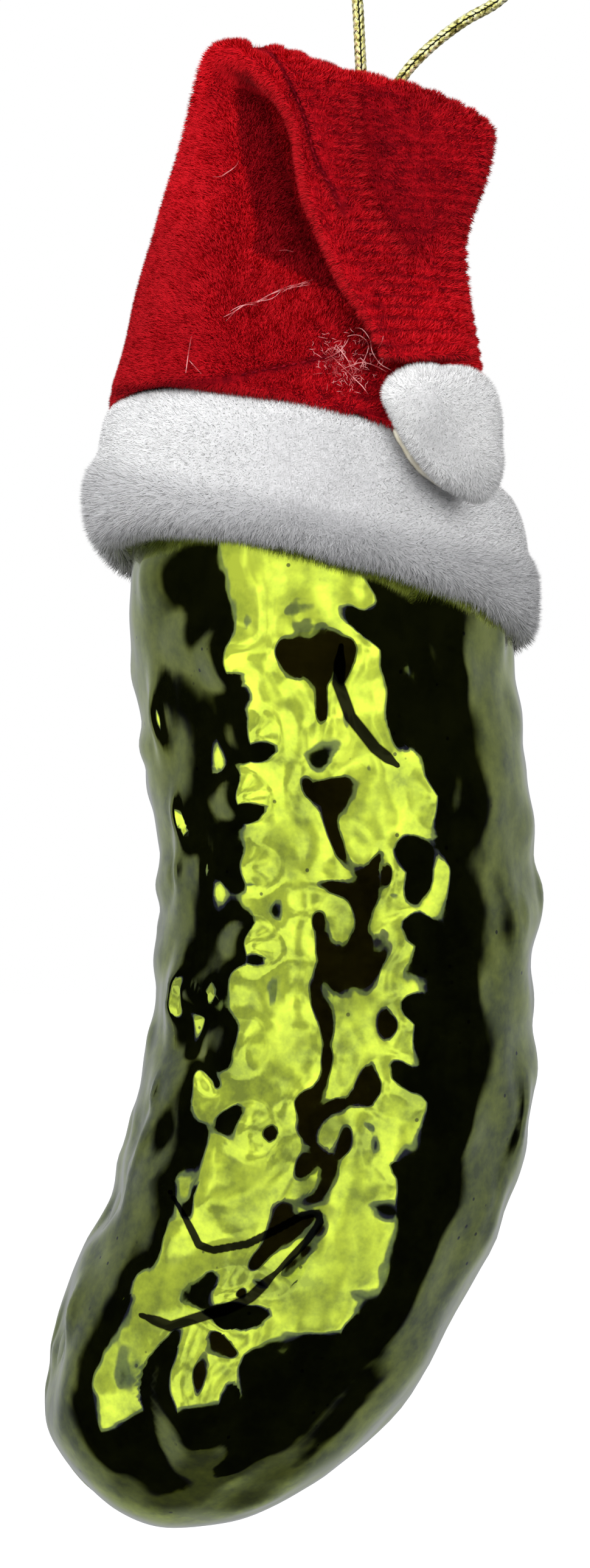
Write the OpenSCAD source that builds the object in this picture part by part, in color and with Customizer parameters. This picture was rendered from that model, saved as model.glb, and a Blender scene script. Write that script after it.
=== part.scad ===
// Pickle ornament: a blown, silvered glass pickle in a plush hat, hung on a gold cord.
// Lengths are in millimetres and angles in degrees. +X is to the right, +Y is to the back and
// +Z is up. The pieces are drawn from the foot of the glass neck, and the whole is then moved
// so that the place where a hook bears in the top of the cord's loop is the origin.

/* [Glass pickle] */
// Length of the pickle along its bend, from the foot of the neck to the tip
pickle_len = 109; // [95:1:125]
// Diameter of the pickle between its warts
pickle_d = 33.2; // [30:0.2:36]
// Thickness of the blown glass
glass_wall = 1.1; // [0.8:0.1:1.6]
// Length over which the tip rounds off
tip_len = 35; // [28:1:42]
// Length over which the shoulder under the neck rounds off
shoulder_len = 19; // [17:0.5:21]
// Height of the largest warts above the skin
wart_h = 0.95; // [0:0.05:1.2]
// Radius of the largest warts
wart_r = 3; // [2:0.1:3.6]
// Outer diameter of the neck
neck_d = 9.2; // [8.6:0.2:9.8]
// Height of the neck
neck_h = 6; // [5:0.5:6.5]

/* [Cap and spring wire] */
// Thickness of the cap's sheet metal
cap_sheet = 0.35; // [0.25:0.05:0.5]
// Height of the cap's fluted skirt
skirt_h = 4.4; // [3.6:0.1:4.8]
// Number of flutes pressed into the skirt
cap_flutes = 18; // [12:1:24]
// Diameter of the spring wire
wire_d = 0.8; // [0.6:0.1:0.9]
// Outer diameter of the wire's ring
ring_d = 6.4; // [6:0.1:6.6]
// Reach of the wire's legs below the middle of the ring
leg_len = 23; // [20:0.5:26]

/* [Hat] */
// Height of the red crown above the brim
crown_h = 33; // [30:0.5:36]
// Thickness of the red plush, with its pile pressed
plush_t = 1.3; // [1:0.1:1.5]
// Height of the white brim
brim_h = 11.6; // [9:0.2:13]
// Thickness of the white brim
brim_t = 1.7; // [1.4:0.1:2.6]
// How far the brim slopes down to the right, in degrees
brim_roll = 13; // [8:1:16]
// How far the brim is pushed up at the front, in degrees
brim_pitch = 11; // [8:1:16]
// Width of the pompom
pompom_w = 9.4; // [8:0.2:10]
// Height of the pompom
pompom_h = 11.6; // [10:0.2:12.4]
// Depth of the pompom from front to back
pompom_t = 6.4; // [5:0.2:7]

/* [Cord] */
// Diameter of the gold cord
cord_d = 1; // [0.8:0.1:1.2]

/* [Hidden] */

// The pieces are drawn from the pickle's lowest point up; this is where the neck's foot then is
neck_x = 0.9;
neck_z = 105;
// The middle of the cord at the top of its loop
loop_x = 8.5;
loop_z = 183.5;
// Gap between pieces that are put together dry
fit_gap = 0.2;
// Gap between soft pieces that lie on each other
soft_gap = 0.3;
// Overrun of a cut through a wall
cut_over = 1;

pickle_r = pickle_d / 2;
neck_r = neck_d / 2;

// Middle line of the pickle: [share of its length, degrees to the left of straight down]
spine_turn_shares = [
    [0, 0], [0.09, 5], [0.165, 1], [0.255, -7], [0.345, -8], [0.41, -4], [0.475, 2], [0.55, 4],
    [0.6, 8], [0.66, 14], [0.71, 22], [0.77, 29], [0.82, 39], [0.88, 46], [1, 48]
];
// Slow swelling of the skin: [share of the length, share of the pickle's radius]
swell_shares = [
    [0, 1], [0.35, 1.005], [0.45, 0.985], [0.53, 1], [0.6, 1.02], [0.66, 1.03], [0.72, 1.02],
    [0.8, 1], [0.88, 1.005], [1, 1]
];
spine_steps = 60;
girth_points = 56;
// Rings of points up the neck, the shoulder, the middle and the tip, of the skin and the lining
skin_rings = [2, 7, 26, 13];
lining_rings = [2, 4, 7, 6];
// Bluntness of the shoulder and of the tip, as the exponents of their ovals
shoulder_blunt = 1.8;
tip_blunt = 2.5;

// Warts stand in rows that run lengthwise, from under the brim, where they die out, to the tip
wart_rows = 14;
warts_in_row = 9;
wart_first_share = 0.2;
wart_last_share = 0.97;
wart_seed = 7;
// How far a wart strays, along as a share of the step between warts and round in degrees
wart_stray_share = 0.36;
wart_stray_turn = 7;
// Size of the smallest wart, as a share of the largest
wart_small_share = 0.45;

// The middle of the brim lies this far below the foot of the neck
brim_drop = 16;
// The middle of the crown lies this far to the left of the neck
crown_shift = 1.1;
// Room for glue between the glass and the brim
glue_room = 0.6;
// The ring of glue keeps clear of both by this share of the room, and is this share as high
glue_off_share = 0.3;
glue_h_share = 0.35;
// How far the brim is fuller on the left than on the right
brim_shift = 0.6;
brim_steps = 44;
// Outline of the brim's section: [share of the thickness, share of the height from its middle]
brim_section_shares = [[0, -0.42], [0.22, -0.5], [0.7, -0.47], [0.95, -0.33], [1, 0], [0.93, 0.34],
                       [0.68, 0.47], [0.22, 0.5], [0, 0.42]];
brim_in_r = pickle_r + glue_room;
crown_r = brim_in_r + plush_t;

// The crown is one tube of plush: up from the brim, over the fold and down to the pompom. A
// station is its middle across and back as shares of the crown's radius and up as a share of
// its height, its half width and half depth as shares of the radius, how far it is turned
// about X, Y and Z in degrees, and how far the cloth swells at the left of the hollow and dips
// in the fold of the flap, as shares of the radius.
crown_station_shares = [
    [-0.01, 0, 0.012, 1, 1.035, -11, 13, 0, 0, 0],
    [-0.045, 0.02, 0.24, 0.875, 0.84, -8, 10, 0, 0.08, 0],
    [-0.015, 0.1, 0.52, 0.776, 0.51, -4, 9, 0, 0.13, 0],
    [0.05, 0.09, 0.69, 0.75, 0.33, -2, 12, 0, 0.12, 0],
    [0.125, 0.08, 0.85, 0.75, 0.16, 0, 16, 0, 0.06, 0],
    [0.165, 0.01, 0.96, 0.74, 0.13, 60, 17, 0, 0, 0.02],
    [0.235, -0.17, 0.96, 0.65, 0.125, 120, 17, 0, 0, 0.04],
    [0.355, -0.27, 0.84, 0.505, 0.13, 180, 13, 5, 0, 0.06],
    [0.355, -0.4, 0.67, 0.445, 0.13, 180, 6, 12, 0, 0.06],
    [0.395, -0.59, 0.49, 0.365, 0.13, 180, 3, 22, 0, 0.05],
    [0.49, -0.78, 0.32, 0.285, 0.125, 180, 0, 30, 0, 0.03],
    [0.53, -0.93, 0.23, 0.245, 0.11, 180, 0, 32, 0, 0]
];
// Where along the section the cloth swells and dips, and how wide, as shares of its half width
swell_at_share = -0.6;
dip_at_share = -0.2;
fold_width_share = 0.3;
crown_points = 28;
crown_between = 2;
// The hollow of the crown ends at this station, inside the fold
crown_hollow_end = 5;
// Squareness of the crown's section, as the exponent of its oval
crown_blunt = 2.3;
// The slit in the fold that the cord comes out of
slit_w = 5.4;
slit_d = 1.8;
slit_h = 12;
slit_x = 5.6;
slit_y = 1.4;
slit_z = 129;

wire_r = wire_d / 2;
cord_r = cord_d / 2;

// Route of the cord: from the knot under and through the ring, up out of the slit, round the
// loop and down through the slit to the knot
cord_route = [
    [6.4, 1.5, 114.6], [6.1, 1.7, 113.5], [5.3, 1.9, 112.8], [4.3, 2.1, 112.6], [3.2, 2.2, 113.1],
    [2.3, 1.9, 114.2], [1.7, 1.1, 115.1], [1.2, 0.1, 115.9], [0.9, -0.9, 116.8], [0.9, -1.3, 118.1],
    [1.5, -0.7, 119.7], [2.4, 0.2, 121.4], [3.3, 0.9, 123], [3.8, 1.4, 125], [4, 1.5, 127.5],
    [3.9, 1.4, 131], [3.5, 0.8, 137], [2.4, 0.2, 144], [0.4, 0, 151], [-1.9, 0, 158.5],
    [-3, 0, 165.5], [-2.4, 0, 171.8], [0, 0, 177.4], [3.6, 0, 181.5], [8.5, 0, 183.5],
    [14.2, 0, 182.6], [19.2, 0, 179], [22.9, 0, 173], [25, 0, 165.5], [24.9, 0, 158],
    [23.2, 0, 150], [20.9, 0.2, 142.6], [18.9, 0.5, 138.2], [16.2, 0.8, 135.3],
    [13.1, 1.1, 133.5], [10.1, 1.3, 131.2], [7.7, 1.4, 128.6], [6.3, 1.5, 125.6],
    [6.1, 1.5, 122], [6.4, 1.5, 118.6]
];
cord_sides = 8;
cord_between = 2;

// Triangles that join rings of points, all with the same number of points, and the fan of
// triangles that closes the first or the last ring. The flag or flipped() turns them over.
function ring_faces(rings, points, first) = [
    for (i = [0 : rings - 2], j = [0 : points - 1])
        let (a = first + i * points + j, b = first + i * points + (j + 1) % points)
            each [[a, b, a + points], [b, b + points, a + points]]
];
function fan(centre, start, points, turned) = [
    for (j = [0 : points - 1])
        let (a = start + j, b = start + (j + 1) % points)
            turned ? [centre, a, b] : [centre, b, a]
];

function flipped(faces) = [for (f = faces) [f[0], f[2], f[1]]];

// Smooth curve through a list of rows of numbers, with extra rows in between
function curve_row(rows, i, t) =
    let (last = len(rows) - 1)
        let (a = rows[max(i - 1, 0)], b = rows[i], c = rows[min(i + 1, last)], d = rows[min(i + 2, last)])
            let (bend = a * 2 - b * 5 + c * 4 - d, twist = b * 3 - a - c * 3 + d)
                (b * 2 + (c - a) * t + bend * t * t + twist * t * t * t) / 2;
function curve(rows, between) = [
    for (i = [0 : len(rows) - 2], k = [0 : between - 1]) curve_row(rows, i, k / between),
    rows[len(rows) - 1]
];

// Tube of a steady radius along a list of points
function unit(v) = v / norm(v);
function tube_heading(points, i) =
    unit(points[min(i + 1, len(points) - 1)] - points[max(i - 1, 0)]);
function tube_sides(points) = [
    for (i = 0, s = unit(cross(tube_heading(points, 0), [0, 1, 0]));
         i < len(points);
         i = i + 1,
         s = i < len(points) ? unit(s - tube_heading(points, i) * (s * tube_heading(points, i))) : s) s
];
module tube(points, radius, sides) {
    across = tube_sides(points);
    rings = [
        for (i = [0 : len(points) - 1])
            let (up = cross(tube_heading(points, i), across[i]))
                for (j = [0 : sides - 1])
                    points[i] + (across[i] * cos(360 * j / sides) + up * sin(360 * j / sides)) * radius
    ];
    count = len(points) * sides;
    polyhedron(
        points = concat(rings, [points[0], points[len(points) - 1]]),
        faces = concat(flipped(ring_faces(len(points), sides, 0)), fan(count, 0, sides, true),
                       fan(count + 1, count - sides, sides, false)));
}

// Every piece is drawn from the foot of the pickle and then hung from the origin
module hung() {
    translate([-loop_x, 0, cord_r - loop_z])
        children();
}

// Where the middle line of the pickle runs, by the share of its length
function turn_at(share) = lookup(share, spine_turn_shares);
spine = [
    for (i = 0, p = [neck_x, 0, neck_z];
         i <= spine_steps;
         p = p + [-sin(turn_at((i + 0.5) / spine_steps)), 0, -cos(turn_at((i + 0.5) / spine_steps))]
             * pickle_len / spine_steps,
         i = i + 1) p
];
function spine_at(drop) =
    let (step = min(max(drop / pickle_len, 0), 1) * spine_steps, i = min(floor(step), spine_steps - 1))
        spine[i] + (spine[i + 1] - spine[i]) * (step - i) + [0, 0, max(-drop, 0)];
spine_x_by_height = [for (p = spine) [p.z, p.x]];

// Warts: [drop below the neck's foot, angle, size share]
function stray(n) = rands(-1, 1, 3, wart_seed + n);
warts = [
    for (row = [0 : wart_rows - 1], k = [0 : warts_in_row - 1])
        let (r = stray(row * warts_in_row + k),
             place = (k + (row % 2) / 2 + r[0] * wart_stray_share) / warts_in_row)
            [pickle_len * (wart_first_share + (wart_last_share - wart_first_share) * place),
             360 * row / wart_rows + r[1] * wart_stray_turn,
             1 - (1 - wart_small_share) * abs(r[2])]
];
function turn_between(a, b) = abs((a - b + 540) % 360 - 180);
function wart_lift(drop, angle, r, i = 0) =
    i >= len(warts) ? 0
    : let (w = warts[i], along = (drop - w[0]) / (wart_r * w[2]))
        (abs(along) >= 1 ? 0
         : let (round_it = turn_between(angle, w[1]) * PI / 180 * r / (wart_r * w[2]),
                d = along * along + round_it * round_it)
             d >= 1 ? 0 : wart_h * w[2] * (1 - d) * (1 - d))
        + wart_lift(drop, angle, r, i + 1);

// Profile of the glass: [drop below the neck's foot, radius], from the rim to the tip
function glass_profile(thin, rings) =
    let (r = pickle_r - thin, n = neck_r - thin, from = shoulder_len + thin, to = pickle_len - tip_len)
        concat(
            [for (i = [0 : rings[0] - 1]) [-neck_h + (neck_h + thin) * i / rings[0], n]],
            [for (i = [0 : rings[1] - 1])
                let (a = 90 * i / rings[1])
                    [thin + shoulder_len * (1 - pow(cos(a), 2 / shoulder_blunt)),
                     n + (r - n) * pow(sin(a), 2 / shoulder_blunt)]],
            [for (i = [0 : rings[2] - 1]) [from + (to - from) * i / rings[2], r]],
            [for (i = [0 : rings[3] - 1])
                let (a = 90 * i / rings[3])
                    [to + (tip_len - thin) * pow(sin(a), 2 / tip_blunt),
                     r * pow(cos(a), 2 / tip_blunt)]]);

function skin_ring(drop, r, lift) =
    let (turn = turn_at(max(drop, 0) / pickle_len), middle = spine_at(drop))
        [for (j = [0 : girth_points - 1])
            let (a = 360 * j / girth_points,
                 bare = min(max((brim_z + brim_lean(a) - brim_h / 2 - middle.z) / wart_r, 0), 1),
                 wart = lift ? bare * wart_lift(drop, a, pickle_r) : 0,
                 out = r * lookup(drop / pickle_len, swell_shares) + wart)
                middle + [cos(turn) * cos(a), sin(a), -sin(turn) * cos(a)] * out];

module glass_pickle() {
    skin = glass_profile(0, skin_rings);
    lining = glass_profile(glass_wall, lining_rings);
    outer = [for (row = skin) each skin_ring(row[0], row[1], row[0] > shoulder_len / 2)];
    inner = [for (row = lining) each skin_ring(row[0], row[1], false)];
    n = girth_points;
    tips = [spine_at(pickle_len), spine_at(pickle_len - glass_wall)];
    rim = [
        for (j = [0 : n - 1])
            let (a = j, b = (j + 1) % n)
                each [[a, len(outer) + a, b], [b, len(outer) + a, len(outer) + b]]
    ];
    inside = flipped(ring_faces(len(lining), n, len(outer)));
    all = len(outer) + len(inner);
    color([0.55, 0.62, 0.12])
        hung()
            polyhedron(
                points = concat(outer, inner, tips),
                faces = concat(ring_faces(len(skin), n, 0), inside, rim,
                               fan(all, len(outer) - n, n, true), fan(all + 1, all - n, n, false)));
}

// Cap: a pressed disc with a fluted skirt round the neck and two holes for the wire's legs
cap_in_r = neck_r + fit_gap;
cap_z = neck_z + neck_h + fit_gap;
// Depth of a flute, as a share of the sheet's thickness
flute_share = 1.2;
flute_points = 6;
leg_hole_r = wire_r + fit_gap;

// Wire: a ring whose ends turn down into two legs, which bow out under the neck
ring_r = ring_d / 2 - wire_r;
leg_x_share = 0.57;
leg_x = ring_r * leg_x_share;
throat_share = 1.3;
throat_r = wire_d * throat_share;
ring_z = cap_z + cap_sheet + fit_gap + wire_r + ring_r;
throat_turn = acos((leg_x + throat_r) / (ring_r + throat_r));
throat_z = ring_z - (ring_r + throat_r) * sin(throat_turn);
bow_r = 7;
bow_turn = 32;
bow_drop = 4;
foot_r = 1.6;
foot_turn = 75;
wire_sides = 10;

// Outline of the fluted sheet, outside a circle of this radius
module fluted(r) {
    steps = cap_flutes * flute_points;
    polygon([
        for (i = [0 : steps - 1])
            let (a = 360 * i / steps, out = r + cap_sheet * flute_share * (1 - cos(a * cap_flutes)) / 2)
                [cos(a), sin(a)] * out
    ]);
}

module neck_cap() {
    color([0.82, 0.7, 0.4])
        hung()
            translate([neck_x, 0, cap_z])
                difference() {
                    translate([0, 0, -skirt_h])
                        linear_extrude(height = skirt_h + cap_sheet)
                            fluted(cap_in_r + cap_sheet);
                    translate([0, 0, -skirt_h - cut_over])
                        linear_extrude(height = skirt_h + cut_over)
                            fluted(cap_in_r);
                    for (side = [-1, 1])
                        translate([side * leg_x, 0, -cut_over])
                            cylinder(r = leg_hole_r, h = cap_sheet + cut_over * 2, $fn = 24);
                }
}

// Points along an arc in the XZ plane, without its last point
function arc(x, z, r, from, to, steps) = [
    for (i = [0 : steps - 1])
        let (a = from + (to - from) * i / steps) [x + r * cos(a), 0, z + r * sin(a)]
];

// One leg from its foot up to the ring, then half the ring
function half_wire() =
    let (knee_z = neck_z - bow_drop, bow_x = leg_x + bow_r, shin_x = leg_x + bow_r * (1 - cos(bow_turn)),
         shin_z = knee_z - bow_r * sin(bow_turn),
         shin = leg_len - (ring_z - shin_z) - foot_r,
         ankle_x = shin_x + shin * sin(bow_turn), ankle_z = shin_z - shin * cos(bow_turn))
        concat(
            arc(ankle_x + foot_r * cos(bow_turn), ankle_z + foot_r * sin(bow_turn), foot_r,
                180 + bow_turn + foot_turn, 180 + bow_turn, 4),
            arc(bow_x, knee_z, bow_r, 180 + bow_turn, 180, 4),
            arc(leg_x + throat_r, throat_z, throat_r, 180, 180 - throat_turn, 4),
            arc(0, ring_z, ring_r, -throat_turn, 90, 12));
function mirrored(points) = [
    for (i = [len(points) - 1 : -1 : 0]) [-points[i].x, points[i].y, points[i].z]
];

module hanger_wire() {
    half = half_wire();
    color([0.75, 0.76, 0.78])
        hung()
            translate([neck_x, 0, 0])
                tube(concat(half, [[0, 0, ring_z + ring_r]], mirrored(half)), wire_r, wire_sides);
}

// Cord
cord_path = curve(cord_route, cord_between);
knot_foot = cord_route[0];
knot_head = cord_route[len(cord_route) - 1];
knot_wraps = 3;
knot_snug_share = 0.46;
knot_gap = 0.4;
knot_len = norm(knot_head - knot_foot) - knot_gap * 2;

module cord_loop() {
    color([0.72, 0.62, 0.3])
        hung()
            tube(cord_path, cord_r, cord_sides);
}

// Barrel knot: wraps of the cord round its two ends
module cord_knot() {
    up = unit(knot_head - knot_foot);
    wrap = knot_len / knot_wraps;
    color([0.72, 0.62, 0.3])
        hung()
            translate(knot_foot + up * knot_gap)
                rotate([0, acos(up.z), atan2(up.y, up.x)]) {
                    cylinder(r = cord_d, h = knot_len, $fn = 32);
                    for (k = [0 : knot_wraps - 1])
                        translate([0, 0, wrap * (k + 0.5)])
                            rotate_extrude($fn = 32)
                                translate([cord_d, 0])
                                    circle(r = wrap * knot_snug_share, $fn = 16);
                }
}

// Brim: a soft band that follows the skin of the glass
function brim_lean(angle) = -(cos(angle) * tan(brim_roll) + sin(angle) * tan(brim_pitch)) * brim_in_r;
brim_z = neck_z - brim_drop;
function band_point(angle, r, z) = [lookup(z, spine_x_by_height) + cos(angle) * r, sin(angle) * r, z];
module band(r, thick, shift, h, outline, points) {
    n = len(outline);
    rings = [
        for (i = [0 : points - 1])
            let (a = 360 * i / points, t = thick - shift * cos(a))
                for (p = outline)
                    band_point(a, r + p[0] * t, brim_z + brim_lean(a) + p[1] * h)
    ];
    faces = [
        for (i = [0 : points - 1], j = [0 : n - 1])
            let (a = i * n + j, b = i * n + (j + 1) % n, c = ((i + 1) % points) * n + j,
                 d = ((i + 1) % points) * n + (j + 1) % n)
                each [[a, b, c], [b, d, c]]
    ];
    polyhedron(points = rings, faces = faces);
}

module hat_brim() {
    color([0.93, 0.93, 0.95])
        hung()
            band(brim_in_r, brim_t, brim_shift, brim_h, brim_section_shares, brim_steps);
}

module brim_glue() {
    color([0.85, 0.8, 0.55])
        hung()
            band(pickle_r + glue_room * glue_off_share, glue_room * (1 - glue_off_share * 2), 0,
                 brim_h * glue_h_share, brim_section_shares, brim_steps);
}

// Crown
crown_z = brim_z + brim_h / 2;
function blunted(v, blunt) = sign(v) * pow(abs(v), 2 / blunt);
function oval(angle, blunt) = [blunted(cos(angle), blunt), blunted(sin(angle), blunt)];
function turned(v, t) =
    let (x = [v.x, v.y * cos(t.x) - v.z * sin(t.x), v.y * sin(t.x) + v.z * cos(t.x)],
         y = [x.x * cos(t.y) + x.z * sin(t.y), x.y, x.z * cos(t.y) - x.x * sin(t.y)])
        [y.x * cos(t.z) - y.y * sin(t.z), y.x * sin(t.z) + y.y * cos(t.z), y.z];
function hump(x, at) = exp(-pow((x - at) / fold_width_share, 2));
// The swell and the dip die out towards the two edges of the section
edge_ease = 2;
function crown_fold(o, s) =
    -crown_r * min(1, abs(o.y) * edge_ease)
    * (o.y < 0 ? s[8] * hump(o.x, swell_at_share) : s[9] * hump(o.x, dip_at_share));
function crown_middle(s) =
    [neck_x - crown_shift + s[0] * crown_r, s[1] * crown_r, crown_z + s[2] * crown_h];
function crown_ring(s, thin) =
    let (middle = crown_middle(s))
        [for (j = [0 : crown_points - 1])
            let (o = oval(360 * j / crown_points, crown_blunt))
                middle + turned([o.x * (s[3] * crown_r - thin),
                                 o.y * (s[4] * crown_r - thin) + crown_fold(o, s), 0],
                                [s[5], s[6], s[7]])];

module crown_cloth() {
    stations = curve(crown_station_shares, crown_between);
    hollow = [for (i = [0 : crown_hollow_end * crown_between]) stations[i]];
    outer = [for (s = stations) each crown_ring(s, 0)];
    inner = [for (s = hollow) each crown_ring(s, plush_t)];
    n = crown_points;
    rim = [
        for (j = [0 : n - 1])
            let (a = j, b = (j + 1) % n)
                each [[a, b, len(outer) + a], [b, len(outer) + b, len(outer) + a]]
    ];
    inside = ring_faces(len(hollow), n, len(outer));
    all = len(outer) + len(inner);
    ends = [crown_middle(stations[len(stations) - 1]), crown_middle(hollow[len(hollow) - 1])];
    outside = flipped(ring_faces(len(stations), n, 0));
    polyhedron(
        points = concat(outer, inner, ends),
        faces = concat(outside, inside, rim,
                       fan(all, len(outer) - n, n, false), fan(all + 1, all - n, n, true)));
}

module hat_crown() {
    color([0.68, 0.06, 0.1])
        hung()
            difference() {
                crown_cloth();
                translate([slit_x - slit_w / 2, slit_y - slit_d / 2, slit_z - slit_h / 2])
                    cube([slit_w, slit_d, slit_h]);
            }
}

// Pompom: a squarish tuft against the front of the brim, with a bead of glue under its left edge
pompom_turn = -62;
pompom_blunt = 2.6;
pompom_rise = 5;
pompom_rings = 10;
pompom_points = 20;
bead_r = 0.4;
// Middle of the glue bead: shares of half the pompom's width and height
bead_shares = [
    [-0.82, -0.28], [-0.75, -0.42], [-0.62, -0.58], [-0.44, -0.7], [-0.2, -0.79], [0.08, -0.84]
];
pompom_back = pompom_t / 2 + soft_gap;
brim_out_r = brim_in_r + brim_t;
module at_pompom() {
    out = brim_out_r + pompom_back;
    translate(band_point(pompom_turn, out, brim_z + brim_lean(pompom_turn) + pompom_rise))
        rotate([0, 0, pompom_turn + 90])
            children();
}

module pompom() {
    rings = [
        for (i = [1 : pompom_rings - 1])
            let (o = oval(180 * i / pompom_rings - 90, pompom_blunt))
                for (j = [0 : pompom_points - 1])
                    let (q = oval(360 * j / pompom_points, pompom_blunt))
                        [q.x * o.x * pompom_w / 2, q.y * o.x * pompom_t / 2, o.y * pompom_h / 2]
    ];
    n = pompom_points;
    color([0.95, 0.95, 0.96])
        hung()
            at_pompom()
                polyhedron(
                    points = concat(rings, [[0, 0, -pompom_h / 2], [0, 0, pompom_h / 2]]),
                    faces = concat(flipped(ring_faces(pompom_rings - 1, n, 0)), fan(len(rings), 0, n, true),
                                   fan(len(rings) + 1, len(rings) - n, n, false)));
}

module pompom_glue() {
    path = [
        for (b = bead_shares)
            let (x = b.x * pompom_w / 2, z = b.y * pompom_h / 2)
                [x, pompom_back - bead_r + x * x / brim_out_r / 2, z]
    ];
    color([0.8, 0.78, 0.5])
        hung()
            at_pompom()
                tube(path, bead_r, cord_sides);
}

glass_pickle();
neck_cap();
hanger_wire();
cord_loop();
cord_knot();
hat_crown();
hat_brim();
pompom();
brim_glue();
pompom_glue();
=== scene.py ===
"""Pickle ornament: looks of the glass, the plush hat and the gold cord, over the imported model."""

import math

import bpy
import numpy as np
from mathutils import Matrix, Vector, noise
from mathutils.bvhtree import BVHTree


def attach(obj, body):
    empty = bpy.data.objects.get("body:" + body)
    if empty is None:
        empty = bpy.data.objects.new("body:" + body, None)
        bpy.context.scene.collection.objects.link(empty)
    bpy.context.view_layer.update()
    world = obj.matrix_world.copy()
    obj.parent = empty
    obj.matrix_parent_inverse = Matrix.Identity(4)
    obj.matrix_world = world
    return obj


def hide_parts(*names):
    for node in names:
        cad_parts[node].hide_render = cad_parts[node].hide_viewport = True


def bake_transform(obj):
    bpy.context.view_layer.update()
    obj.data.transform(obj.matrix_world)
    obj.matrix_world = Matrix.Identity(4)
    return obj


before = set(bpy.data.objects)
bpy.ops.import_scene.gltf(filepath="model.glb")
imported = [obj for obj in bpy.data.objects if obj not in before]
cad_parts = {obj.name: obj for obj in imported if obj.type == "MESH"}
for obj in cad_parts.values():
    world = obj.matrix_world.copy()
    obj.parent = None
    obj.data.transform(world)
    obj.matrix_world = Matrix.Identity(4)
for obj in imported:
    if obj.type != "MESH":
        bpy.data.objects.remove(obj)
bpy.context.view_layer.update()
# Unseeded, the noise that clumps the hairs would differ from run to run
noise.seed_set(1)

MM = 0.001
# The model's origin, in mm right of the hat's middle and above the pickle's lowest point
ORIGIN_RIGHT, ORIGIN_UP = 8.5, 183


def at(x, z, y=0.0):
    """The place that lies these mm right of the hat's middle, above the lowest point and behind."""
    return Vector((x - ORIGIN_RIGHT, y, z - ORIGIN_UP)) * MM


def right_and_up(points):
    """How far each point lies right and up, in the mm that at() takes."""
    return points[:, 0] / MM + ORIGIN_RIGHT, points[:, 2] / MM + ORIGIN_UP


def nothing_selected():
    bpy.ops.object.select_all(action="DESELECT")


def only(obj):
    nothing_selected()
    obj.select_set(True)
    bpy.context.view_layer.objects.active = obj
    return obj


# Camera, from the front and far off

# The picture's middle in mm right and up, its height, and how far off it is taken
PICTURE_RIGHT, PICTURE_UP, PICTURE_HIGH, PICTURE_AWAY = -1.89, 65.68, 139.24, 700
SENSOR = 36


def photograph_camera():
    nothing_selected()
    bpy.ops.object.camera_add(
        location=at(PICTURE_RIGHT, PICTURE_UP, -PICTURE_AWAY), rotation=(math.pi / 2, 0, 0)
    )
    camera = bpy.context.object
    camera.data.sensor_width = SENSOR
    camera.data.lens = SENSOR * PICTURE_AWAY / PICTURE_HIGH
    camera.data.clip_end = 50
    bpy.context.scene.camera = camera


photograph_camera()


# Node wrappers


class Value:
    """The output of a node, which can be used in sums."""

    def __init__(self, tree, socket):
        self.tree, self.socket = tree, socket

    def math(self, operation, *others):
        return self.tree.node("ShaderNodeMath", {"operation": operation}, self, *others)

    def __add__(self, other):
        return self.math("ADD", other)

    def __sub__(self, other):
        return self.math("SUBTRACT", other)

    def __mul__(self, other):
        return self.math("MULTIPLY", other)

    def __truediv__(self, other):
        return self.math("DIVIDE", other)

    def __neg__(self):
        return self.math("MULTIPLY", -1)

    def __rsub__(self, other):
        return -self + other

    __radd__ = __add__
    __rmul__ = __mul__

    def over(self, low, high):
        """0 below low, 1 above high and smooth in between, or the other way round if high is less."""
        return self.tree.node(
            "ShaderNodeMapRange", {"interpolation_type": "SMOOTHSTEP"}, self, low, high
        )


class Tree:
    """The nodes of a material or of the world."""

    def __init__(self, owner):
        owner.use_nodes = True
        self.nodes, self.links = owner.node_tree.nodes, owner.node_tree.links
        self.nodes.clear()

    def node(self, kind, settings=None, *inputs, output=0, **named):
        """Adds a node, sets it up, fills its sockets and returns the value of one output."""
        node = self.nodes.new(kind)
        for name, value in (settings or {}).items():
            if name == "stops":
                ramp = node.color_ramp
                while len(ramp.elements) < len(value):
                    ramp.elements.new(0.5)
                for element, (place, colour) in zip(ramp.elements, value, strict=True):
                    element.position, element.color = place, (*colour, 1)
            else:
                setattr(node, name, value)
        for socket, value in [
            *zip(node.inputs, inputs, strict=False),
            *((node.inputs[name.replace("_", " ")], value) for name, value in named.items()),
        ]:
            if isinstance(value, Value):
                self.links.new(value.socket, socket)
            elif value is not None:
                socket.default_value = value
        return Value(self, node.outputs[output])

    def colour(self, share, first, second):
        """The first colour where share is 0 and the second where it is 1."""
        mix = self.nodes.new("ShaderNodeMix")
        mix.data_type = "RGBA"
        for socket, value in ((0, share), (6, first), (7, second)):
            if isinstance(value, Value):
                self.links.new(value.socket, mix.inputs[socket])
            else:
                mix.inputs[socket].default_value = value if socket == 0 else (*value, 1)
        return Value(self, mix.outputs[2])

    def place(self, *scale):
        """The point on the piece, stretched by these factors."""
        here = self.node("ShaderNodeTexCoord", output="Object")
        return self.node("ShaderNodeMapping", None, here, Scale=scale) if scale else here

    def noise(self, where, scale, detail=2.0, rough=0.5):
        return self.node(
            "ShaderNodeTexNoise", None, Vector=where, Scale=scale, Detail=detail, Roughness=rough
        )

    def attribute(self, name):
        return self.node("ShaderNodeAttribute", {"attribute_name": name}, output="Fac")

    def bump(self, height, strength, distance):
        return self.node(
            "ShaderNodeBump", None, Strength=strength, Distance=distance, Height=height
        )

    def out(self, shader, kind="ShaderNodeOutputMaterial"):
        self.links.new(shader.socket, self.nodes.new(kind).inputs[0])


FINISHES = {}


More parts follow.
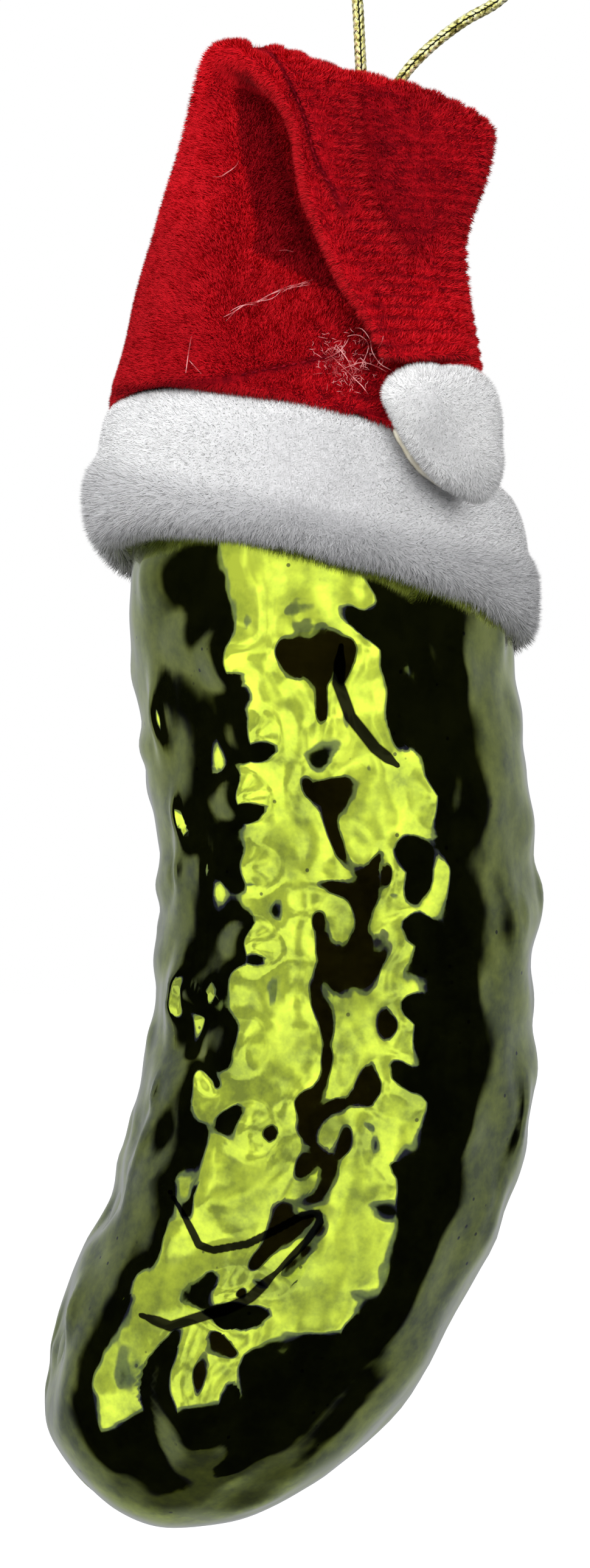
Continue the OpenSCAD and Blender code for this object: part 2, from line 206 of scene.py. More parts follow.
def finish_of(name):
    """The tree of a new material, which is kept in FINISHES under its name."""
    FINISHES[name] = bpy.data.materials.new(name)
    return Tree(FINISHES[name])


def principled(tree, colour, roughness, **named):
    tree.out(
        tree.node("ShaderNodeBsdfPrincipled", Base_Color=colour, Roughness=roughness, **named)
    )


# Materials


def mirrored_glass():
    """Lacquer of uneven thickness over the silvering, brighter towards the neck, with dark specks and a
    painted dark reflection along the creases.
    """
    t = finish_of("green_mirrored_glass")
    here = t.place()
    cloud = t.noise(here, 240, 4, 0.62)
    fine = t.noise(here, 950, 3, 0.6)
    tall = t.node("ShaderNodeSeparateXYZ", None, here, output=2).over(-0.135, -0.105)
    lacquer = t.node(
        "ShaderNodeValToRGB",
        {
            "stops": [
                (0.36, (0.26, 0.33, 0.05)), (0.46, (0.42, 0.52, 0.06)), (0.55, (0.55, 0.67, 0.07)),
                (0.65, (0.7, 0.83, 0.09)),
            ]
        },
        cloud * 0.75 + fine * 0.25 + tall * 0.12 - 0.045,
    )
    specks = t.node("ShaderNodeTexVoronoi", None, Vector=here, Scale=620.0).over(0.14, 0.08)
    rare = t.noise(here, 170, 1).over(0.54, 0.6)
    colour = t.colour(specks * rare * 0.85, lacquer, (0.04, 0.05, 0.01))
    # Painted dark reflection: the colour goes near black along the creases, and the coat fades there
    gathered = t.attribute("crease").over(0.3, 0.55)
    colour = t.colour(gathered, colour, (0.01, 0.011, 0.004))
    ripple = t.bump(t.noise(here, 210, 2, 0.4), 0.32, 0.0006)
    principled(
        t, colour, fine * 0.06 + 0.015, Metallic=1.0, Normal=ripple,
        Coat_Weight=1 - gathered * 0.9, Coat_Roughness=0.02, Coat_IOR=1.5,
    )


def cap_metal():
    t = finish_of("gold_cap_metal")
    wear = t.noise(t.place(), 900, 3)
    colour = t.colour(wear.over(0.4, 0.65), (0.78, 0.6, 0.26), (0.6, 0.43, 0.17))
    principled(t, colour, wear * 0.25 + 0.18, Metallic=1.0, Normal=t.bump(wear, 0.2, 0.0001))


def spring_steel():
    t = finish_of("spring_wire")
    drawn = t.noise(t.place(1, 1, 0.1), 3000, 2)
    principled(
        t, t.colour(drawn, (0.5, 0.5, 0.52), (0.68, 0.68, 0.7)), drawn * 0.2 + 0.2,
        Metallic=1.0, Normal=t.bump(drawn, 0.15, 0.00005),
    )


def gold_yarn():
    t = finish_of("gold_cord")
    strands = t.attribute("strand")
    glint = t.noise(t.place(), 1900, 2, 0.6)
    # The noise paints bright glints into the colour as painted highlights, and drives the bump too
    lit = t.node(
        "ShaderNodeValToRGB",
        {
            "stops": [
                (0.36, (0.2, 0.18, 0.04)), (0.43, (0.6, 0.56, 0.2)), (0.5, (1.0, 0.97, 0.4)),
                (0.6, (1.0, 1.0, 0.66)),
            ]
        },
        glint,
    )
    # Painted shade: the gaps between the plait's strands are painted near black
    colour = t.colour(strands.over(0.35, 0.66), (0.006, 0.005, 0.002), lit)
    principled(t, colour, 0.3, Metallic=0.55, Normal=t.bump(glint, 0.4, 0.0001))


def gold_thread():
    t = finish_of("knot_yarn")
    twist = t.node(
        "ShaderNodeTexWave", {"wave_type": "BANDS", "bands_direction": "DIAGONAL"},
        Vector=t.place(), Scale=900.0, Distortion=2.0,
    )
    colour = t.colour(twist, (0.12, 0.1, 0.03), (0.75, 0.66, 0.28))
    principled(t, colour, 0.36, Metallic=0.8, Normal=t.bump(twist, 0.4, 0.0002))


def plush_cloth(name, deep, light):
    """The knitted cloth that the pile stands on, darker where shade is painted on it."""
    t = finish_of(name)
    tone = t.attribute("tone")
    knit = t.noise(t.place(), 900, 3, 0.6)
    colour = t.colour(tone * knit.over(0.3, 0.7), deep, light)
    principled(t, colour, 0.95, Normal=t.bump(knit, 0.6, 0.0004), Specular_IOR_Level=0.02)


def plush_pile(name, dark, root, middle, tip, sheen):
    """Hairs: darker at the root and in the folds as painted shade, and uneven from hair to hair."""
    t = finish_of(name)
    height, shade, tone = map(t.attribute, ("height", "shade", "tone"))
    patch = t.noise(t.place(), 260, 2, 0.5)
    worn = t.colour(patch.over(0.35, 0.65) * 0.6 + shade * 0.4, middle, tip)
    # Painted shade: the hairs go darker towards the root, and towards dark where the painted shade and
    # light is low
    colour = t.colour(tone, dark, t.colour(height.over(0.0, 0.6), root, worn))
    principled(
        t, colour, 0.85, Sheen_Weight=sheen, Sheen_Roughness=0.5, Specular_IOR_Level=0.02
    )


def sewing_thread():
    t = finish_of("red_thread")
    twist = t.noise(t.place(), 3000, 2)
    colour = t.colour(twist.over(0.4, 0.6), (0.08, 0.001, 0.004), (0.2, 0.004, 0.01))
    principled(t, colour, 0.8, Specular_IOR_Level=0.03)


def glue_film():
    t = finish_of("glue_threads")
    cloudy = t.noise(t.place(), 900, 2)
    colour = t.colour(cloudy.over(0.4, 0.6), (0.52, 0.09, 0.1), (0.76, 0.32, 0.32))
    principled(t, colour, 0.3, Coat_Weight=0.5, Alpha=cloudy.over(0.3, 0.6) * 0.55 + 0.2)


def hot_glue():
    t = finish_of("hot_glue")
    cloudy = t.noise(t.place(), 700, 3)
    colour = t.colour(cloudy.over(0.35, 0.7), (0.58, 0.53, 0.4), (0.76, 0.73, 0.63))
    principled(t, colour, cloudy * 0.2 + 0.2, Normal=t.bump(cloudy, 0.3, 0.0003), Coat_Weight=0.3)


mirrored_glass()
cap_metal()
spring_steel()
gold_yarn()
gold_thread()
plush_cloth("red_cloth", (0.12, 0.002, 0.005), (0.48, 0.005, 0.011))
plush_pile(
    "red_pile", (0.06, 0.001, 0.004), (0.59, 0.006, 0.013), (0.68, 0.009, 0.017),
    (0.77, 0.013, 0.022), 0.02,
)
sewing_thread()
plush_cloth("white_cloth", (0.88, 0.88, 0.89), (0.92, 0.92, 0.93))
plush_pile(
    "white_pile", (0.5, 0.5, 0.52), (0.93, 0.93, 0.936), (0.94, 0.94, 0.946),
    (0.96, 0.96, 0.966), 0.1,
)
plush_pile(
    "pompom_pile", (0.6, 0.6, 0.61), (0.95, 0.95, 0.954), (0.97, 0.97, 0.974), (1.0, 1.0, 1.0), 0.1
)
glue_film()
hot_glue()


def dressed(obj, finish, body="ornament"):
    """Gives a finished piece its material and the body that it rides on."""
    obj.data.materials.clear()
    obj.data.materials.append(FINISHES[finish])
    if body:
        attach(obj, body)
    return obj


for node_name, finish in {
    "neck_cap": "gold_cap_metal",
    "hanger_wire": "spring_wire",
    "cord_knot": "knot_yarn",
    "brim_glue": "hot_glue",
    "pompom_glue": "hot_glue",
}.items():
    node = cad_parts[node_name]
    node.data.materials.clear()
    node.data.materials.append(FINISHES[finish])


# Shared making steps


def points_of(obj):
    found = np.empty(len(obj.data.vertices) * 3)
    obj.data.vertices.foreach_get("co", found)
    return found.reshape(-1, 3)


def normals_of(obj):
    found = np.empty(len(obj.data.vertices) * 3)
    obj.data.vertices.foreach_get("normal", found)
    return found.reshape(-1, 3)


def moved_to(obj, points):
    obj.data.vertices.foreach_set("co", points.ravel())
    obj.data.update()


def rough(points, size, seed):
    """Smooth noise from -1 to 1 at each point, for lumps of this size in mm."""
    shift = Vector((seed * 3.7, seed * 1.3, seed * 7.1))
    return np.array([noise.fractal(Vector(p) / (size * MM) + shift, 1, 2, 1) for p in points])


def line_off(points, line):
    """Each point's distance in the front view to a line of (mm right, mm up), and the share along it."""
    line = np.array([[p.x, p.z] for p in (at(x, z) for x, z in line)])
    flat = points[:, ::2]
    best, where = np.full(len(points), 1.0), np.zeros(len(points))
    for i, (a, b) in enumerate(zip(line, line[1:], strict=False)):
        t = np.clip((flat - a) @ (b - a) / ((b - a) @ (b - a)), 0, 1)
        off = np.linalg.norm(flat - a - t[:, None] * (b - a), axis=1)
        where = np.where(off < best, (i + t) / (len(line) - 1), where)
        best = np.minimum(off, best)
    return best, where


def ridge(off, half):
    """1 on a line and fading out beside it, for distances in metres and a half width in mm."""
    return np.exp(-((off / (half * MM)) ** 2))


def eased(value, low, high):
    """0 below low, 1 above high and smooth in between."""
    share = np.clip((value - low) / (high - low), 0, 1)
    return share * share * (3 - 2 * share)


def attribute(mesh, name, values):
    mesh.attributes.new(name, "FLOAT", "POINT").data.foreach_set("value", values.astype(np.float32))


def edit_mode(on):
    bpy.ops.object.mode_set(mode="EDIT" if on else "OBJECT")


def in_scene(name, mesh):
    obj = bpy.data.objects.new(name, mesh)
    bpy.context.scene.collection.objects.link(obj)
    return obj


def from_cad(node, name, levels):
    """A copy of a CAD node's shape, merged, turned to quads and smoothed, to be worked on."""
    obj = only(in_scene(name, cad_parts[node].data.copy()))
    edit_mode(True)
    bpy.ops.mesh.select_all(action="SELECT")
    bpy.ops.mesh.remove_doubles(threshold=2e-6)
    bpy.ops.mesh.tris_convert_to_quads(
        face_threshold=math.radians(60), shape_threshold=math.radians(60)
    )
    edit_mode(False)
    smooth = obj.modifiers.new("smooth", "SUBSURF")
    smooth.levels = smooth.render_levels = levels
    bpy.ops.object.modifier_apply(modifier="smooth")
    bpy.ops.object.shade_smooth()
    return obj


def surface_of(*pieces):
    """The meshes as one tree that rays can be cast at."""
    points, faces = [], []
    for obj in pieces:
        faces += [[k + len(points) for k in f.vertices] for f in obj.data.polygons]
        points += [Vector(p) for p in points_of(obj)]
    return BVHTree.FromPolygons(points, faces)


def unit(v):
    return v / np.maximum(np.linalg.norm(v, axis=-1, keepdims=True), 1e-12)


def travelled(route):
    """How far along a route each of its points lies."""
    return np.concatenate([[0], np.cumsum(np.linalg.norm(np.diff(route, axis=0), axis=1))])


def points_along(route, places):
    """The points at these distances along a route."""
    far = travelled(route)
    return np.column_stack([np.interp(places, far, column) for column in route.T])


# Cord

CORD = [
    [6.4, 1.5, 114.6], [6.1, 1.7, 113.5], [5.3, 1.9, 112.8], [4.3, 2.1, 112.6], [3.2, 2.2, 113.1],
    [2.3, 1.9, 114.2], [1.7, 1.1, 115.1], [1.2, 0.1, 115.9], [0.9, -0.9, 116.8], [0.9, -1.3, 118.1],
    [1.5, -0.7, 119.7], [2.4, 0.2, 121.4], [3.3, 0.9, 123], [3.8, 1.4, 125], [4, 1.5, 127.5],
    [3.9, 1.4, 131], [3.5, 0.8, 137], [2.4, 0.2, 144], [0.4, 0, 151], [-1.9, 0, 158.5],
    [-3, 0, 165.5], [-2.4, 0, 171.8], [0, 0, 177.4], [3.6, 0, 181.5], [8.5, 0, 183.5],
    [14.2, 0, 182.6], [19.2, 0, 179], [22.9, 0, 173], [25, 0, 165.5], [24.9, 0, 158],
    [23.2, 0, 150], [20.9, 0.2, 142.6], [18.9, 0.5, 138.2], [16.2, 0.8, 135.3],
    [13.1, 1.1, 133.5], [10.1, 1.3, 131.2], [7.7, 1.4, 128.6], [6.3, 1.5, 125.6],
    [6.1, 1.5, 122], [6.4, 1.5, 118.6],
]


def smooth_route(rows, step):
    """The route as a smooth curve, at even steps in metres, and its length."""
    rows = np.array([at(x, z, y) for x, y, z in rows])
    ends = np.vstack([rows[0], rows, rows[-1]])
    fine = []
    for a, b, c, d in zip(ends, ends[1:], ends[2:], ends[3:], strict=False):
        for t in np.linspace(0, 1, 24, endpoint=False):
            bend, twist = a * 2 - b * 5 + c * 4 - d, b * 3 - a - c * 3 + d
            fine.append((b * 2 + (c - a) * t + bend * t**2 + twist * t**3) / 2)
    fine = np.array([*fine, rows[-1]])
    length = travelled(fine)[-1]
    return points_along(fine, np.linspace(0, length, int(length / step) + 1)), length


def tube(name, route, radius, sides):
    """A closed tube along a route. radius is a function of turns round and metres along."""
    heading = unit(np.gradient(route, axis=0))
    side = [unit(np.cross(heading[0], (0, 1, 0)))]
    for h in heading[1:]:
        side.append(unit(side[-1] - h * (side[-1] @ h)))
    side = np.array(side)
    up = np.cross(heading, side)
    u, v = np.meshgrid(np.arange(sides) / sides, travelled(route))
    cos, sin = np.cos(u * 2 * np.pi)[..., None], np.sin(u * 2 * np.pi)[..., None]
    outward = side[:, None] * cos + up[:, None] * sin
    rings = route[:, None] + outward * radius(u, v)[..., None]
    n = len(route)
    points = np.vstack([rings.reshape(-1, 3), route[:1], route[-1:]])
    faces = []
    for i in range(n - 1):
        for j in range(sides):
            a, b = i * sides + j, i * sides + (j + 1) % sides
            faces.append((a, b, b + sides, a + sides))
    for j in range(sides):
        k = (j + 1) % sides
        faces.append((n * sides, k, j))
        faces.append((n * sides + 1, (n - 1) * sides + j, (n - 1) * sides + k))
    mesh = bpy.data.meshes.new(name)
    mesh.from_pydata(points, [], faces)
    obj = only(in_scene(name, mesh))
    edit_mode(True)
    bpy.ops.mesh.select_all(action="SELECT")
    bpy.ops.mesh.normals_make_consistent(inside=False)
    edit_mode(False)
    bpy.ops.object.shade_smooth()
    return obj


# The cord's plait: its columns of stitches, a stitch's length, and the radii of core and strand
PLAIT_COLUMNS, STITCH_LONG, CORE_RADIUS, STRAND_RADIUS = 4, 0.62 * MM, 0.42 * MM, 0.12 * MM
CORD_SIDES = 24


def plait(u, v):
    """How far a strand of the plait stands out, 0 in the gaps: slanted stitches in columns."""
    column = np.abs(((u * PLAIT_COLUMNS) % 1) * 2 - 1)
    stitch = (v / STITCH_LONG + column * 0.55 + np.floor(u * PLAIT_COLUMNS) * 0.5) % 1
    return np.sqrt(np.sin(stitch * np.pi)) * (1 - 0.75 * column**6)


def gold_cord():
    route, length = smooth_route(CORD, 0.11 * MM)
    obj = tube("cord", route, lambda u, v: CORE_RADIUS + STRAND_RADIUS * plait(u, v), CORD_SIDES)
    u, v = np.meshgrid(np.arange(CORD_SIDES) / CORD_SIDES, np.linspace(0, length, len(route)))
    attribute(obj.data, "strand", np.append(plait(u, v).ravel(), [0, 0]))
    dressed(obj, "gold_cord", body=None)
    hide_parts("cord_loop")
    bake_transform(obj)


gold_cord()


# Glass pickle

# The pickle's middle line: shares of its length, and how many degrees it leans to the left there
SPINE_FOOT, SPINE_LONG, SPINE_STEPS = (0.9, 105.0), 109, 60
SPINE_TURNS = [
    (0, 0), (0.09, 5), (0.165, 1), (0.255, -7), (0.345, -8), (0.41, -4), (0.475, 2), (0.55, 4),
    (0.6, 8), (0.66, 14), (0.71, 22), (0.77, 29), (0.82, 39), (0.88, 46), (1, 48),
]

# Lumps blown in the front: mm right and up, half width, half height, how far out
FRONT_LUMPS = [
    (-1.0, 76.5, 12, 11.5, 1.8),
    (-7.4, 76.8, 3.2, 3.6, 0.8), (-3.9, 77.4, 3.0, 3.8, 0.34), (-5.4, 69.9, 3.0, 2.8, 0.62),
    (0, 70.4, 3.4, 4.8, 0.45), (5.6, 71.0, 3.0, 5.0, 0.4), (-6.6, 64.6, 3.2, 2.8, 0.85),
    (-2.2, 65.2, 2.8, 3.0, 0.35), (1.6, 59.7, 3.8, 3.6, 0.45), (7.8, 58.0, 3.0, 3.6, 0.45),
    (8.2, 51.8, 3.0, 3.0, 0.5), (0.8, 54.2, 3.0, 3.4, 0.36), (-5.8, 51.8, 3.2, 2.8, 0.85),
    (-1.9, 47.6, 3.4, 3.4, 0.45), (0.6, 41.8, 3.2, 4.6, 0.42), (7.8, 44.9, 2.8, 2.8, 0.5),
    (-6.0, 35.6, 3.2, 2.8, 0.75), (2.8, 35.1, 3.2, 3.4, 0.42), (-1.8, 32.5, 2.8, 3.0, 0.3),
    (-5.8, 58.4, 3.0, 2.6, 0.55), (-6.8, 43.0, 2.8, 3.2, 0.6), (6.2, 39.5, 2.6, 3.0, 0.45),
    (-17.0, 23.2, 2.6, 2.6, 0.3), (-10.6, 11.8, 4.8, 8.0, 2.1), (-11.0, 78.2, 3.4, 3.4, 0.7),
    (-13.6, 84.0, 3.4, 3.6, 0.5), (-10.4, 67.4, 2.6, 5.4, 0.6), (-11.2, 56.0, 3.4, 3.8, 0.6),
    (5.7, 82.3, 3.0, 3.6, 0.4), (9.4, 75.8, 3.0, 3.4, 0.4), (10.6, 65.0, 3.0, 3.8, 0.4),
    (9.3, 38.0, 3.2, 3.4, 0.5), (6.6, 30.0, 3.2, 3.4, 0.45), (-11.2, 47.0, 3.2, 3.8, 0.7),
    (-11.6, 39.0, 3.4, 3.8, 0.7), (-13.5, 31.0, 3.2, 3.6, 0.6), (-9.0, 29.0, 4.4, 3.0, 0.5),
    (-7.0, 21.0, 5.5, 3.0, 0.8), (1.0, 17.5, 3.6, 3.4, 0.5),
]
# Creases pressed in the front: a line in mm right and up, its depth and its half width, where a
# dark reflection is painted along it
CREASES = [
    ([(-12.4, 30.0), (-11.2, 27.6), (-10.3, 25.6), (-9.0, 25.2), (-6.0, 25.8), (-3.4, 27.1),
      (-1.2, 28.3), (0.1, 28.5), (0.3, 27.7), (-0.9, 26.0), (-2.6, 24.2), (-4.2, 22.6)], 0.03, 0.36),
    ([(-3.4, 23.4), (-5.7, 21.4), (-8.0, 20.1), (-10.4, 19.3), (-12.8, 18.5), (-15.4, 19.4)],
     0.05, 0.5),
    ([(2.2, 77.6), (1.8, 74.4), (2.8, 71.5), (5.0, 68.8), (7.0, 67.3)], 0.05, 0.55),
    ([(-12.6, 48.0), (-9.8, 45.2), (-10.6, 41.8), (-8.6, 38.4)], 0.25, 0.0),
]

# Lumps at the sides: degrees round from the front, mm up, half width, half height, how far out
SIDE_LUMPS = [
    (-88, 74.5, 5, 3.2, 0.3), (-86, 69.0, 5, 2.2, 0.5), (-80, 57.0, 4, 3.4, 0.5),
    (-86, 50.0, 5, 2.6, 0.4), (-88, 42.5, 6, 4.0, 0.2), (-84, 34.5, 6, 4.0, -0.6),
    (-84, 29.0, 7, 4.6, -1.3), (-82, 15.5, 10, 9.0, -1.4), (-110, 15.3, 8, 4.5, -0.9),
    (-62, 72.0, 3, 6.5, 0.6), (-58, 61.0, 3, 5.5, 0.6), (-60, 47.0, 3, 6.0, 0.7),
    (-58, 36.0, 3, 5.0, 0.7), (88, 62.0, 6, 4.5, 0.6), (88, 55.0, 6, 4.5, 0.7),
    (86, 46.5, 6, 3.4, 0.3), (86, 40.0, 7, 5.0, 1.0), (84, 33.0, 7, 6.0, 1.0),
    (80, 26.0, 6, 4.0, 0.4), (86, 72.0, 6, 3.4, 0.3), (140, 60, 5, 5, 0.6),
    (165, 42, 5, 5, 0.6), (-130, 55, 5, 5, 0.6), (-150, 30, 5, 5, 0.6), (180, 74, 5, 5, 0.6),
]
# The glass's radius, a crease's half width, how far beside it the faces are cut finer, and how far
# in front of the middle they are at least, all in mm
GLASS_RADIUS, CREASE_HALF, CREASE_ROOM, CREASE_FRONT = 17, 0.65, 1.9, 9


def spine_points():
    """The pickle's middle line, from the foot of the neck to the tip, in metres."""
    shares, turns = zip(*SPINE_TURNS, strict=True)
    step = SPINE_LONG * MM / SPINE_STEPS
    line = [np.array(at(*SPINE_FOOT))]
    for i in range(SPINE_STEPS):
        turn = math.radians(np.interp((i + 0.5) / SPINE_STEPS, shares, turns))
        line.append(line[-1] + np.array((-math.sin(turn), 0, -math.cos(turn))) * step)
    return np.array(line)


def below_brim(points):
    """How far each point is below the brim's lower edge, which falls to the right and back, in mm."""
    _, up = right_and_up(points)
    return 86.4 - points[:, 0] / MM * 0.23 - np.maximum(points[:, 1], 0) / MM * 0.29 - up


def hem_height(points):
    """How far each point is above the crown's hem, in mm."""
    right, up = right_and_up(points)
    return up - 95.6 + 0.23 * right + 0.19 * points[:, 1] / MM


# The glass under the hat: how far inside the cloth it stays, the slimmest it gets and what counts
# as the neck, which is left as it is, with how much further in it goes at the hem
UNDER_CLOTH, SLIMMEST, NECK_RADIUS, HEM_TUCK = 1.9 * MM, 6 * MM, 8 * MM, 2.2 * MM
CAST_FROM = 60 * MM


def tucked_in(points, middle, covered, hat):
    """Moves the covered points in towards the middle line, so that the hat's cloth hides them."""
    inward = eased(hem_height(points), -6, -2) * HEM_TUCK
    for k in np.flatnonzero(covered):
        level = np.array((middle[k, 0], middle[k, 1], points[k, 2]))
        reach = np.linalg.norm(points[k] - level)
        if reach < NECK_RADIUS:
            continue
        way = Vector((points[k] - level) / reach)
        hit, _, _, _ = hat.ray_cast(Vector(level) + way * CAST_FROM, -way)
        room = reach - inward[k]
        if hit is not None:
            room = min(room, (hit - Vector(level)).length - UNDER_CLOTH)
        points[k] = level + np.array(way) * max(room, SLIMMEST)
    return points


def finer_at_creases(obj):
    """Cuts the front's faces along the creases finer, as the creases are narrower than the faces."""
    middles = np.array([face.center for face in obj.data.polygons])
    chosen = np.zeros(len(middles), bool)
    for line, _, _ in CREASES:
        chosen |= line_off(middles, line)[0] < CREASE_ROOM * MM
    chosen &= middles[:, 1] < -CREASE_FRONT * MM
    only(obj)
    edit_mode(True)
    bpy.ops.mesh.select_mode(type="FACE")
    bpy.ops.mesh.select_all(action="DESELECT")
    edit_mode(False)
    obj.data.polygons.foreach_set("select", chosen)
    edit_mode(True)
    bpy.ops.mesh.subdivide(number_cuts=2, smoothness=1.0)
    edit_mode(False)


def lump(off):
    """A round lump: 1 in its middle, and 0 from where the squared share of its reach is 1."""
    return np.where(off < 1, (1 - off) ** 2, 0)


def front_relief(points, normals):
    """How far the front's lumps and creases stand out, in mm, and how strongly a dark reflection is
    painted along the creases.
    """
    right, up = right_and_up(points)
    front = np.clip(-normals[:, 1] * 2.2, 0, 1)
    lift, gathered = np.zeros((2, len(points)))
    for x, z, wide, high, out in FRONT_LUMPS:
        lift += lump(((right - x) / wide) ** 2 + ((up - z) / high) ** 2) * out * front
    for line, deep, half in CREASES:
        off, along = line_off(points, line)
        ends = eased(along, 0, 0.12) * eased(1 - along, 0, 0.12)
        lift -= ridge(off, CREASE_HALF) * ends * deep * front
        if half:
            # A dark reflection painted along the crease
            dark = ridge(off, half * (0.45 + 0.55 * ends)) * (front > 0.2)
            gathered = np.maximum(gathered, dark)
    return lift, gathered


def side_relief(points, normals):
    """How far the lumps at the sides and the back stand out, in mm."""
    _, up = right_and_up(points)
    turn = np.degrees(np.arctan2(normals[:, 0], -normals[:, 1]))
    lift = np.zeros(len(points))
    for side, z, wide, high, out in SIDE_LUMPS:
        round_it = np.radians((turn - side + 180) % 360 - 180) * GLASS_RADIUS
        lift += lump((round_it / wide) ** 2 + ((up - z) / high) ** 2) * out
    return lift


def glass_pickle(hat):
    obj = from_cad("glass_pickle", "glass_skin", 2)
    finer_at_creases(obj)
    points, normals = points_of(obj), normals_of(obj)
    spine = spine_points()
    off = np.linalg.norm(points[:, None, ::2] - spine[None, :, ::2], axis=2)
    middle = spine[np.argmin(off, axis=1)]
    outside = np.einsum("ij,ij->i", normals, points - middle) > 0
    below = below_brim(points)
    relief, gathered = front_relief(points, normals)
    relief += side_relief(points, normals)
    relief += 0.42 * rough(points, 7, 1) + 0.1 * rough(points, 3.2, 2)
    bare = np.clip(below / 3, 0, 1) * outside
    points += normals * (relief * bare * MM)[:, None]
    moved_to(obj, tucked_in(points, middle, below < -2, hat))
    attribute(obj.data, "crease", gathered)
    dressed(obj, "green_mirrored_glass")
    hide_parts("glass_pickle")


# Hat


def plain_hair(root):
    """Hairs of full length everywhere, with no painted shade."""
    return 1, np.ones(len(root))


def in_the_open(obj):
    """Whether each point of the cloth sees out in one of the level or rising directions."""
    surface = surface_of(obj)
    turns = [math.radians(45 * k) for k in range(8)]
    ways = [Vector((math.cos(a), math.sin(a), 0)) for a in turns]
    ways += [Vector((math.cos(a), math.sin(a), 0.9)).normalized() for a in turns[::2]]
    seen = []
    for p, n in zip(points_of(obj), normals_of(obj), strict=True):
        normal = Vector(n)
        start = Vector(p) + normal * (0.1 * MM)
        tried = (way for way in ways if way.dot(normal) > 0.12)
        seen.append(any(surface.ray_cast(start, way, 80 * MM)[0] is None for way in tried))
    return np.array(seen)


def grow_pile(
    cloth, name, count, long, wide, cover, comb, stray, clump, even, seed, detail=plain_hair
):
    """Short tapering hairs that stand on the cloth, each with its height, a random shade, and painted
    shade and light.

    long and wide are in mm, and cover tells which of the points grow hair. The hairs lean with comb,
    stray by themselves and clump, and even is how alike they are lit. detail takes the roots and
    gives the share of its length that each hair keeps, and its painted shade and light.
    """
    rng = np.random.default_rng(seed)
    mesh = cloth.data
    mesh.calc_loop_triangles()
    tri = np.empty(len(mesh.loop_triangles) * 3, int)
    mesh.loop_triangles.foreach_get("vertices", tri)
    tri = tri.reshape(-1, 3)
    points, normals = points_of(cloth), normals_of(cloth)
    area = np.linalg.norm(
        np.cross(points[tri[:, 1]] - points[tri[:, 0]], points[tri[:, 2]] - points[tri[:, 0]]), axis=1
    )
    area *= cover[tri].mean(1)
    picked = rng.choice(len(tri), count, p=area / area.sum())
    a, b = rng.random((2, count))
    over = a + b > 1
    a, b = np.where(over, 1 - a, a), np.where(over, 1 - b, b)
    share = np.stack([1 - a - b, a, b], 1)[..., None]
    root = (points[tri[picked]] * share).sum(1)
    up = unit((normals[tri[picked]] * share).sum(1))
    kept, tone = detail(root)
    length = long * MM * rng.uniform(0.75, 1.2, count) * kept
    drift = np.array([noise.noise_vector(Vector(p) / (1.3 * MM)) for p in root]) * clump
    heading = unit(up + np.array(comb) + drift + rng.normal(0, stray, (count, 3)))
    low = np.einsum("ij,ij->i", heading, up)
    heading = unit(heading + up * np.maximum(0.35 - low, 0)[:, None])
    across = unit(np.cross(heading, (0, -1, 0)) + rng.normal(0, 0.55, (count, 3)))
    half = across * (wide * MM / 2 * rng.uniform(0.7, 1.3, count))[:, None]
    foot = root - up * (0.12 * MM)
    tip = foot + heading * length[:, None]
    corners = np.stack([foot - half, foot + half, tip], 1)
    facing = np.einsum("ij,ij->i", np.cross(corners[:, 1] - corners[:, 0], tip - foot), up)
    corners[facing < 0, :2] = corners[facing < 0, 1::-1]
    obj = in_scene(name, bpy.data.meshes.new(name))
    mesh = obj.data
    mesh.vertices.add(count * 3)
    mesh.vertices.foreach_set("co", corners.ravel())
    mesh.loops.add(count * 3)
    mesh.loops.foreach_set("vertex_index", np.arange(count * 3))
    mesh.polygons.add(count)
    mesh.polygons.foreach_set("loop_start", np.arange(count) * 3)
    mesh.update(calc_edges=True)
    attribute(mesh, "height", np.tile([0, 0, 1.0], count))
    attribute(mesh, "shade", np.repeat(rng.random(count), 3))
    attribute(mesh, "tone", np.repeat(tone, 3))
    cells = int(np.ceil(np.sqrt(count)))
    cell = np.stack([np.arange(count) % cells, np.arange(count) // cells], 1)[:, None]
    corner = np.array([(0.08, 0.08), (0.92, 0.08), (0.5, 0.92)])[None]
    mesh.uv_layers.new(name="OFBake").data.foreach_set("uv", ((cell + corner) / cells).ravel())
    flat = unit(np.cross(corners[:, 1] - corners[:, 0], tip - foot))
    mesh.normals_split_custom_set_from_vertices(unit(np.repeat(up * even + flat, 3, axis=0)).tolist())
    return obj


def halves(points):
    """The front's left and right half and the back: the name of each, and which points it has."""
    back, right = points[:, 1] > 0, points[:, 0] > at(-0.6, 0).x
    return ("left", ~back & ~right), ("right", ~back & right), ("back", back)


def within(points, outline):
    """Whether each point lies inside the outline, seen from the front."""
    line = [(p.x, p.z) for p in (at(x, z) for x, z in outline)]
    inside = np.zeros(len(points), bool)
    for (ax, az), (bx, bz) in zip(line, line[1:], strict=False):
        crosses = (az > points[:, 2]) != (bz > points[:, 2])
        inside ^= crosses & (points[:, 0] < ax + (points[:, 2] - az) / (bz - az + 1e-12) * (bx - ax))
    return inside


